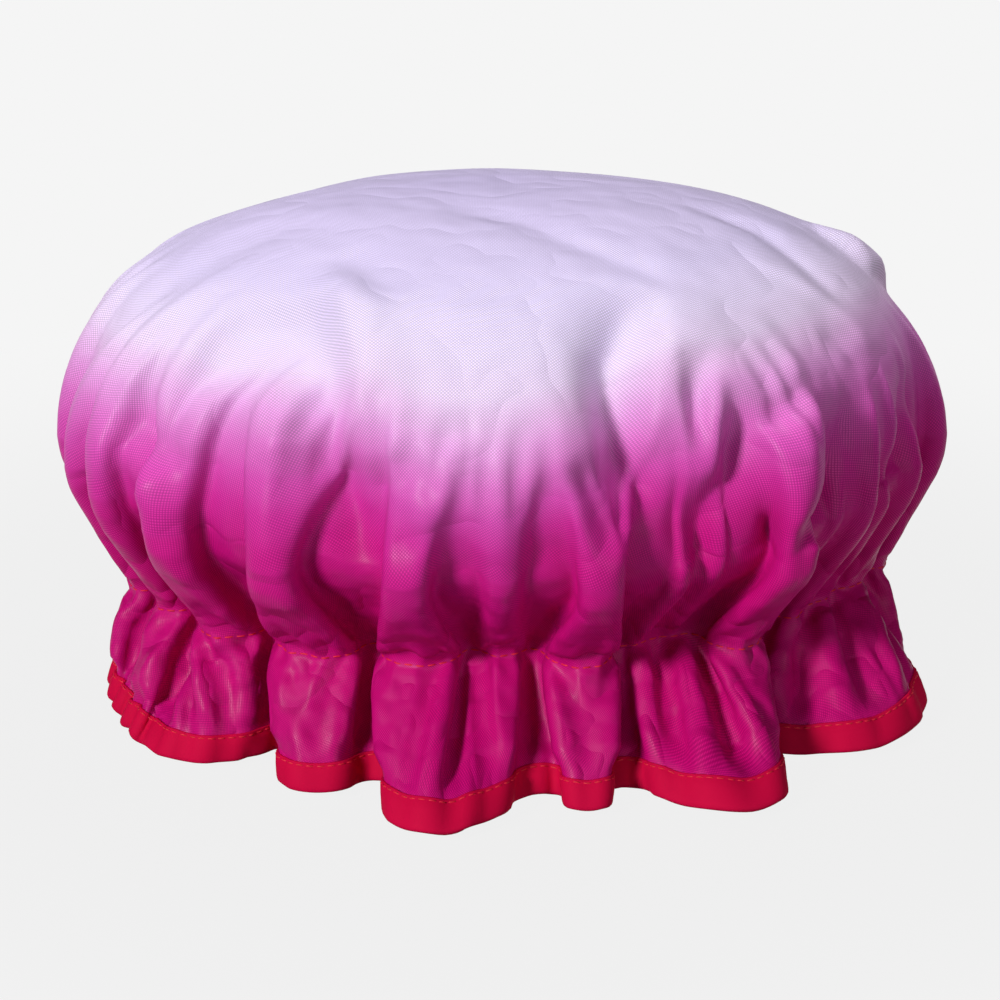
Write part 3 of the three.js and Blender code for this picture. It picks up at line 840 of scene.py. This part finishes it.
tape, _ = near_hem(TAPE_SECTION[:, 0], TAPE_SECTION[:, 1])
tape = np.roll(tape, -seam_column, axis=1)
seam_way = unit(tape[FOLD_ROW, 1] - tape[FOLD_ROW, -1]) * SEAM_GAP / 2
tape = np.concatenate([tape, tape[:, :1] - seam_way], axis=1)
tape[:, 0] += seam_way
tape_walk = np.linspace(0, 2 * np.pi * CUT_RADIUS * HEM_EASE, fine_columns + 1)
section_walk = walked_along(TAPE_SECTION)[:, None]
tape_uv = np.stack(np.broadcast_arrays(tape_walk, section_walk), axis=-1).reshape(-1, 2)
tape_quads = grid_quads(*tape.shape[:2], False)
binding = make_piece("binding_tape", tape, tape_quads.tolist(), "hem_binding",
                     tape_uv[tape_quads.ravel()])

# %% [markdown]
# ## Stitches
# A seam is a row of short stitches with gaps between them. Each is a thin tube that comes up out of the
# cloth, lies on it and goes back down.

# %% Stitches
STITCH_SHARES = np.array([0, 0.12, 0.5, 0.88, 1])
STITCH_LIFTS = np.array([-0.35, 0.06, 0.16, 0.06, -0.35]) * MM
STITCH_RADII = np.array([0.16, 0.21, 0.23, 0.21, 0.16]) * MM
TUBE_SIDES = 6
ELASTIC_SEAM = (3.4 * MM, 2.6 * MM)
BINDING_SEAM = (3.0 * MM, 2.3 * MM)
BINDING_SEAM_UP = 9.7 * MM
ON_TAPE, INSIDE_TAPE = 0.62 * MM, -1.44 * MM


def tubes(centres, sides, ups, radii):
    """Tubes through rows of centres: rings of points round each centre, in the plane of side and up."""
    angle = 2 * np.pi * np.arange(TUBE_SIDES) / TUBE_SIDES
    rings = centres[..., None, :] + radii[..., None, None] * (
        np.cos(angle)[:, None] * sides[..., None, :] + np.sin(angle)[:, None] * ups[..., None, :])
    count, sections = rings.shape[:2]
    one = grid_quads(sections, TUBE_SIDES, True)
    faces = (one[None] + (np.arange(count) * sections * TUBE_SIDES)[:, None, None]).reshape(-1, 4)
    return rings.reshape(-1, 3), faces.tolist()


def stitch_row(name, path, normal, seam, node):
    """Stitches along a closed path on a face with these normals; a seam is a pitch and a stitch's length."""
    pitch, length = seam
    closed = np.concatenate([path, path[:1]])
    walked = walked_along(closed)
    count = int(round(walked[-1] / pitch))
    place = np.arange(count)[:, None] * walked[-1] / count + STITCH_SHARES * length
    along = np.concatenate([normal, normal[:1]])

    def at(values):
        axes = [np.interp(place, walked, values[:, k], period=walked[-1]) for k in range(3)]
        return np.stack(axes, axis=-1)
    centre, up = at(closed), unit(at(along))
    ahead = unit(np.gradient(centre, axis=1))
    side = unit(np.cross(ahead, up))
    radii = np.broadcast_to(STITCH_RADII, place.shape)
    vertex, faces = tubes(centre + STITCH_LIFTS[:, None] * up, side, up, radii)
    return make_piece(name, vertex, faces, node)


fine_waist = 2 * WAIST_RING
waist_needle = stitch_row("stitches_over_elastic", cloth_points[fine_waist], cloth_normal[fine_waist],
                          ELASTIC_SEAM, "elastic_needle_thread")
edge_point, edge_normal = near_hem([BINDING_SEAM_UP], [ON_TAPE])
binding_needle = stitch_row("stitches_on_binding", edge_point[0], edge_normal[0],
                            BINDING_SEAM, "binding_needle_thread")
edge_point, edge_normal = near_hem([BINDING_SEAM_UP], [INSIDE_TAPE])
binding_bobbin = stitch_row("stitches_inside_binding", edge_point[0], -edge_normal[0],
                            BINDING_SEAM, "binding_bobbin_thread")

# %% [markdown]
# ## Elastic
# The elastic is a flat ribbed band inside the gathers. It goes round once and laps over its own start.

# %% Elastic
ELASTIC_RIBS = 6
RIB_HEIGHT = 0.09 * MM
ELASTIC_THICKNESS = 1.1 * MM
LAP_STEP = 1.4 * MM
CAD_STEPS = 56
LAP_TURN = 2 * 2 * np.pi / CAD_STEPS
LAP_RAMP = 3 * 2 * np.pi / CAD_STEPS
ELASTIC_SECTIONS = 361
BOBBIN_POINTS = 720

elastic_half = (elastic_high - elastic_low)[:2] / 2
elastic_width = (elastic_high - elastic_low)[2]


def elastic_oval(turn, inset):
    """Points on the elastic's oval, moved in by an inset along the line to the middle."""
    direction = np.stack([np.cos(turn), np.sin(turn)], axis=-1)
    radius = 1 / np.linalg.norm(direction / elastic_half, axis=-1)
    return direction * (radius - inset)[..., None]


elastic_turn = np.pi / 2 + np.linspace(0, 2 * np.pi + LAP_TURN, ELASTIC_SECTIONS)
climb = LAP_STEP * smooth((elastic_turn - elastic_turn[0] - 2 * np.pi + LAP_RAMP) / LAP_RAMP)
across = np.linspace(-0.5, 0.5, 4 * ELASTIC_RIBS + 1)
rib = RIB_HEIGHT * np.cos(2 * np.pi * ELASTIC_RIBS * across)
section_in = np.concatenate([RIB_HEIGHT + rib, ELASTIC_THICKNESS - RIB_HEIGHT - rib[::-1]])
section_up = waist_height + elastic_width * np.concatenate([across, across[::-1]])
elastic_plan = elastic_oval(elastic_turn, climb + section_in[:, None])
elastic_height = np.broadcast_to(section_up[:, None], elastic_plan.shape[:2])
band = np.concatenate([elastic_plan, elastic_height[..., None]], axis=-1)
band = np.concatenate([band, band[:1]])
band_quads = grid_quads(*band.shape[:2], False)
elastic = make_piece("elastic_ribbed", band, band_quads.tolist(), "elastic_band")

bobbin_turn = np.linspace(0, 2 * np.pi, BOBBIN_POINTS, endpoint=False) + np.pi / 2
bobbin_climb = np.interp(bobbin_turn, elastic_turn, climb)
bobbin_climb[bobbin_turn < np.pi / 2 + LAP_TURN] = LAP_STEP
bobbin_plan = elastic_oval(bobbin_turn, ELASTIC_THICKNESS + bobbin_climb)
bobbin_path = np.concatenate([bobbin_plan, np.full((len(bobbin_plan), 1), waist_height)], axis=1)
bobbin_normal = np.concatenate([-unit(bobbin_plan), np.zeros((len(bobbin_plan), 1))], axis=1)
waist_bobbin = stitch_row("stitches_on_elastic", bobbin_path, bobbin_normal,
                          ELASTIC_SEAM, "elastic_bobbin_thread")

# %% [markdown]
# ## Tacks
# A bar tack is a close row of parallel stitches across a join.

# %% Tacks
TACK_STITCHES = 10
TACK_WIDTH = 3.0 * MM
TACK_HEIGHT = 5.0 * MM
TACK_THREAD = 1.2
JOIN_UP = np.array([3.5, 5.0, 6.5]) * MM
JOIN_OFF = 0.95 * MM


def bar_tack(name, centre, up, out, node):
    """Parallel stitches across a join, stacked along up and lying on a face that looks out."""
    side = unit(np.cross(out, up))
    level = np.linspace(-0.5, 0.5, TACK_STITCHES)[:, None] * TACK_HEIGHT
    share = (STITCH_SHARES - 0.5) * TACK_WIDTH
    centres = centre + level[..., None] * up + share[:, None] * side + STITCH_LIFTS[:, None] * out
    ups = np.broadcast_to(out, centres.shape)
    ways = np.broadcast_to(up, centres.shape)
    vertex, faces = tubes(centres, ways, ups, np.broadcast_to(STITCH_RADII * TACK_THREAD, centres.shape[:2]))
    return make_piece(name, vertex, faces, node)


lap_turn = np.pi / 2 + LAP_TURN / 2
lap_plan = elastic_oval(np.array([lap_turn]), np.array([ELASTIC_THICKNESS + LAP_STEP]))[0]
lap_out = -unit(np.array([*lap_plan, 0.0]))
elastic_tack = bar_tack("tack_on_elastic", np.array([*lap_plan, waist_height]), np.array([0.0, 0.0, 1.0]),
                        lap_out, "elastic_join_tack")
join_point, join_normal = near_hem(JOIN_UP, np.full(len(JOIN_UP), JOIN_OFF))
join_up = unit(join_point[2, seam_column] - join_point[0, seam_column])
binding_tack = bar_tack("tack_on_binding", join_point[1, seam_column], join_up, join_normal[1, seam_column],
                        "binding_join_tack")

# %% [markdown]

# %% [markdown]
# ## Shader arithmetic
# Materials here are formulas. A small class lets the formulas be written as plain arithmetic: each
# operation adds one Math node and hands back its output.

# %% Shader arithmetic
class Paint:
    """A material and its node tree."""

    def __init__(self, name):
        self.material = bpy.data.materials.new(name)
        self.material.use_nodes = True
        self.tree = self.material.node_tree
        self.surface = self.tree.nodes["Principled BSDF"]

    def node(self, kind, inputs, **settings):
        """Make a node, set its inputs and hand back its first output."""
        made = self.tree.nodes.new(kind)
        for key, value in settings.items():
            setattr(made, key, value)
        for key, value in inputs.items():
            self.feed(made.inputs[key], value)
        return Value(self, made.outputs[0])

    def feed(self, socket, value):
        """Link a varying value to a socket, or set a constant on it."""
        if isinstance(value, Value):
            self.tree.links.new(value.socket, socket)
        else:
            socket.default_value = value

    def set(self, **inputs):
        """Feed inputs of the surface by their names."""
        for key, value in inputs.items():
            self.feed(self.surface.inputs[key.replace("_", " ").title()], value)

    def shine(self, level):
        """Set how strongly the surface mirrors light."""
        self.surface.inputs["Specular IOR Level"].default_value = level

    def give(self, *pieces):
        """Put the material on pieces."""
        for piece in pieces:
            piece.data.materials.append(self.material)


class Value:
    """A number or colour that varies over a surface; arithmetic on it adds Math nodes."""

    def __init__(self, paint, socket):
        self.paint, self.socket = paint, socket

    def math(self, operation, *others):
        inputs = dict(enumerate([self, *others]))
        return self.paint.node("ShaderNodeMath", inputs, operation=operation)

    def __add__(self, other):
        return self.math("ADD", other)

    def __sub__(self, other):
        return self.math("SUBTRACT", other)

    def __mul__(self, other):
        return self.math("MULTIPLY", other)

    def __truediv__(self, other):
        return self.math("DIVIDE", other)

    def __pow__(self, other):
        return self.math("POWER", other)

    def ramp(self, low, high):
        """0 below low and 1 above high, with soft ends."""
        return self.paint.node("ShaderNodeMapRange", {"Value": self, "From Min": low, "From Max": high},
                               interpolation_type="SMOOTHSTEP", clamp=True)


def linear(red, green, blue):
    """A screen colour from 0 to 255, as the linear colour that a material needs."""
    screen = np.array([red, green, blue]) / 255
    return (*np.where(screen <= 0.04045, screen / 12.92, ((screen + 0.055) / 1.055) ** 2.4), 1.0)


# %% [markdown]
# ## Printed cloth
# The print is a shade that depends only on the place on the flat cut: lavender round a point a little
# behind the middle, then through pink to magenta, with a pale tongue down the brow. The paler ring where
# the lavender turns pink is partly the print's own colour and partly a painted highlight. Each stop is a
# distance from that point in mm and a screen colour. A plain weave of fine threads crosses the print: the
# base colour is painted lighter on the thread floats, as painted glints, and darker between them, as
# painted shade, and a clear coat on the floats gives the satin face a real sheen. Fine crumples are a
# bump, strongest in the ruffle: their creases are the places where a noise crosses its middle.

# %% Printed cloth
PRINT_CENTRE = np.array([-8, 22]) * MM
PRINT_TONGUE = 12 * MM
TONGUE_WIDTH = 30 * MM
# The stops from 88 to 115 mm are paler: partly the print's own colour and partly a painted highlight.
PRINT_AND_HIGHLIGHT_STOPS = [
    (0, (213, 200, 239)), (88, (220, 207, 243)), (104, (228, 213, 245)), (115, (232, 210, 243)),
    (122, (231, 190, 234)), (131, (228, 156, 221)), (140, (223, 118, 202)), (150, (216, 80, 180)),
    (160, (209, 48, 156)), (171, (204, 28, 137)), (184, (202, 15, 128)), (200, (200, 9, 120)),
    (290, (198, 7, 114)),
]
PRINT_REACH = 300 * MM
WEAVE_PERIOD = 0.92 * MM
# How far the floats are painted lighter and the gaps darker: painted glints and painted shade.
WEAVE_PAINTED_GLINT_AND_SHADE = 0.5
WEAVE_DEPTH = 0.08 * MM
WEAVE_BUMP = 0.35
FLOAT_LOW, FLOAT_HIGH = -0.3, 0.8
CRUMPLE_PERIOD = 32 * MM
CRUMPLE_DEPTH = 8 * MM
CRUMPLE_CROWN = 0.4
CRUMPLE_DETAIL = 2.0
CRUMPLE_FROM, CRUMPLE_FULL = 0.55 * CUT_RADIUS, 0.8 * CUT_RADIUS
NOISE_MIDDLE = 0.5
CLOTH_ROUGHNESS = 0.5
CLOTH_SPECULAR = 0.1
GLINT = 0.3
GLINT_ROUGHNESS = 0.35

cloth = Paint("printed_cloth")
cut = cloth.node("ShaderNodeUVMap", {}, uv_map="cut")
split = cloth.tree.nodes.new("ShaderNodeSeparateXYZ")
cloth.feed(split.inputs[0], cut)
cut_x, cut_y = Value(cloth, split.outputs[0]), Value(cloth, split.outputs[1])
shift_x, shift_y = cut_x - PRINT_CENTRE[0], cut_y - PRINT_CENTRE[1]
beside = cut_x / TONGUE_WIDTH
tongue = (beside * beside * -1).math("EXPONENT") * (cut_y * -1).ramp(0.0, CUT_RADIUS / 2)
print_place = ((shift_x * shift_x + shift_y * shift_y) ** 0.5 - tongue * PRINT_TONGUE) / PRINT_REACH
shade = cloth.tree.nodes.new("ShaderNodeValToRGB")
cloth.feed(shade.inputs[0], print_place)
for place, _ in PRINT_AND_HIGHLIGHT_STOPS[1:-1]:
    shade.color_ramp.elements.new(place * MM / PRINT_REACH)
for element, (place, colour) in zip(shade.color_ramp.elements, PRINT_AND_HIGHLIGHT_STOPS):
    element.position = place * MM / PRINT_REACH
    element.color = linear(*colour)
# The print's colour, whose paler ring is partly a painted highlight.
print_and_highlight = Value(cloth, shade.outputs[0])

warp = (cut_x * (2 * np.pi / WEAVE_PERIOD)).math("SINE")
weft = (cut_y * (2 * np.pi / WEAVE_PERIOD)).math("SINE")
floats = (warp * weft).ramp(FLOAT_LOW, FLOAT_HIGH)
# The print painted lighter on the floats and darker between them: painted glints and painted shade.
print_with_painted_light = cloth.node("ShaderNodeVectorMath", {0: print_and_highlight, 1: floats * WEAVE_PAINTED_GLINT_AND_SHADE + (1 - WEAVE_PAINTED_GLINT_AND_SHADE / 2)},
                   operation="MULTIPLY")
from_middle = (cut_x * cut_x + cut_y * cut_y) ** 0.5
crumpled = from_middle.ramp(CRUMPLE_FROM, CRUMPLE_FULL) * (1 - CRUMPLE_CROWN) + CRUMPLE_CROWN
noise = cloth.node("ShaderNodeTexNoise", {
    "Vector": cut, "Scale": 1 / CRUMPLE_PERIOD, "Detail": CRUMPLE_DETAIL}, noise_dimensions="2D")
crumples = (noise - NOISE_MIDDLE).math("ABSOLUTE") * crumpled
crumple_bump = cloth.node("ShaderNodeBump", {"Height": crumples, "Strength": 1.0, "Distance": CRUMPLE_DEPTH})
weave_bump = cloth.node("ShaderNodeBump", {"Height": floats, "Strength": WEAVE_BUMP, "Distance": WEAVE_DEPTH,
                                           "Normal": crumple_bump})
cloth.set(base_color=print_with_painted_light, roughness=CLOTH_ROUGHNESS, normal=weave_bump, coat_weight=floats * GLINT,
          coat_roughness=GLINT_ROUGHNESS)
cloth.shine(CLOTH_SPECULAR)
cloth.give(outer)
print("printed cloth:", len(cloth.tree.nodes), "nodes")

# %% [markdown]
# ## Plain finishes
# The film, the tape, the elastic and the thread each have one colour and one roughness.

# %% Plain finishes
FILM_SHADE, FILM_ROUGHNESS = linear(232, 234, 238), 0.35
TAPE_SHADE, TAPE_ROUGHNESS, TAPE_SPECULAR = linear(200, 4, 62), 0.75, 0.08
ELASTIC_SHADE, ELASTIC_ROUGHNESS = linear(238, 237, 233), 0.85
THREAD_SHADE, THREAD_ROUGHNESS = linear(214, 18, 52), 0.6


def plain_paint(name, shade, roughness):
    """A paint of one colour and one roughness."""
    paint = Paint(name)
    paint.set(base_color=shade, roughness=roughness)
    return paint


plain_paint("lining_film", FILM_SHADE, FILM_ROUGHNESS).give(lining)
tape_paint = plain_paint("binding_tape", TAPE_SHADE, TAPE_ROUGHNESS)
tape_paint.shine(TAPE_SPECULAR)
tape_paint.give(binding)
plain_paint("elastic", ELASTIC_SHADE, ELASTIC_ROUGHNESS).give(elastic)
thread = plain_paint("sewing_thread", THREAD_SHADE, THREAD_ROUGHNESS)
thread.give(waist_needle, waist_bobbin, binding_needle, binding_bobbin, elastic_tack, binding_tack)
print("plain finishes for the film, the tape, the elastic and the thread")

# %% [markdown]
# ## Studio
# The photograph has a plain pale ground with only faint contact shadows. The floor gives off most of its
# own light where it is looked at, straight or in a mirror, so its shadows stay faint, and the world is
# pale where the camera sees it. A small key light at the left draws the folds, a broad fill at the right
# opens their shadows, and a top light brightens the crown.

# %% Floor
FLOOR_SHADE = linear(245, 245, 245)
FLOOR_OWN_LIGHT = 0.93
FLOOR_BOUNCE = 0.2
FLOOR_NEAR, FLOOR_FAR = 0.15, 0.36
FLOOR_HALF = 6

floor_paint = plain_paint("floor", (FLOOR_BOUNCE, FLOOR_BOUNCE, FLOOR_BOUNCE, 1), 1.0)
floor_paint.shine(0)
glow = floor_paint.node("ShaderNodeEmission", {"Color": FLOOR_SHADE, "Strength": 1.0})
path = floor_paint.tree.nodes.new("ShaderNodeLightPath")
place = floor_paint.tree.nodes.new("ShaderNodeTexCoord")
spot = Value(floor_paint, place.outputs["Object"])
away = floor_paint.node("ShaderNodeVectorMath", {0: spot}, operation="LENGTH")
away = Value(floor_paint, away.socket.node.outputs["Value"]).ramp(FLOOR_NEAR, FLOOR_FAR)
looks = [Value(floor_paint, path.outputs[f"Is {kind} Ray"]) for kind in ("Camera", "Glossy", "Transmission")]
seen = (looks[0] + looks[1] + looks[2]).ramp(0.0, 1.0) * (away * (1 - FLOOR_OWN_LIGHT) + FLOOR_OWN_LIGHT)
plain = Value(floor_paint, floor_paint.surface.outputs[0])
mixed = floor_paint.node("ShaderNodeMixShader", {0: seen, 1: plain, 2: glow})
floor_paint.tree.links.new(mixed.socket, floor_paint.tree.nodes["Material Output"].inputs["Surface"])

corners = [(x * FLOOR_HALF, y * FLOOR_HALF, 0) for x, y in ((-1, -1), (1, -1), (1, 1), (-1, 1))]
floor_mesh = bpy.data.meshes.new("floor")
floor_mesh.from_pydata(corners, [], [(0, 1, 2, 3)])
floor = bpy.data.objects.new("floor", floor_mesh)
floor_paint.give(floor)
bpy.context.scene.collection.objects.link(floor)

# %% World
WORLD_LIGHT = 0.04

world = bpy.data.worlds.new("studio")
world.use_nodes = True
nodes, links = world.node_tree.nodes, world.node_tree.links
dim, pale = nodes["Background"], nodes.new("ShaderNodeBackground")
dim.inputs["Color"].default_value = (1, 1, 1, 1)
dim.inputs["Strength"].default_value = WORLD_LIGHT
pale.inputs["Color"].default_value = FLOOR_SHADE
sky_path, sky = nodes.new("ShaderNodeLightPath"), nodes.new("ShaderNodeMixShader")
links.new(sky_path.outputs["Is Camera Ray"], sky.inputs[0])
links.new(dim.outputs[0], sky.inputs[1])
links.new(pale.outputs[0], sky.inputs[2])
links.new(sky.outputs[0], nodes["World Output"].inputs["Surface"])
bpy.context.scene.world = world
print("world:", world.name)

# %% Lights
KEY_PLACE, KEY_AIM = (-1.2, -1.4, 0.95), (0, 0, 0.06)
KEY_SIDE, KEY_WATTS = 0.4, 36
FILL_PLACE, FILL_AIM = (1.0, -1.25, 0.45), (0, 0, 0.06)
FILL_SIDE, FILL_WATTS = 0.9, 5
TOP_PLACE, TOP_AIM = (0.1, 0.5, 1.7), (0, 0, 0.1)
TOP_SIDE, TOP_WATTS = 0.8, 17


def area_light(name, place, aim, side, watts):
    """A square soft box at a place, turned to face its aim."""
    data = bpy.data.lights.new(name, "AREA")
    data.shape = "RECTANGLE"
    data.size, data.size_y, data.energy = side, side, watts
    lamp = bpy.data.objects.new(name, data)
    lamp.location = place
    lamp.rotation_euler = (Vector(aim) - Vector(place)).to_track_quat("-Z", "Y").to_euler()
    bpy.context.scene.collection.objects.link(lamp)


area_light("key", KEY_PLACE, KEY_AIM, KEY_SIDE, KEY_WATTS)
area_light("fill", FILL_PLACE, FILL_AIM, FILL_SIDE, FILL_WATTS)
area_light("top", TOP_PLACE, TOP_AIM, TOP_SIDE, TOP_WATTS)
bpy.context.scene.view_settings.view_transform = "Standard"
print("lights:", [light.name for light in bpy.data.lights])
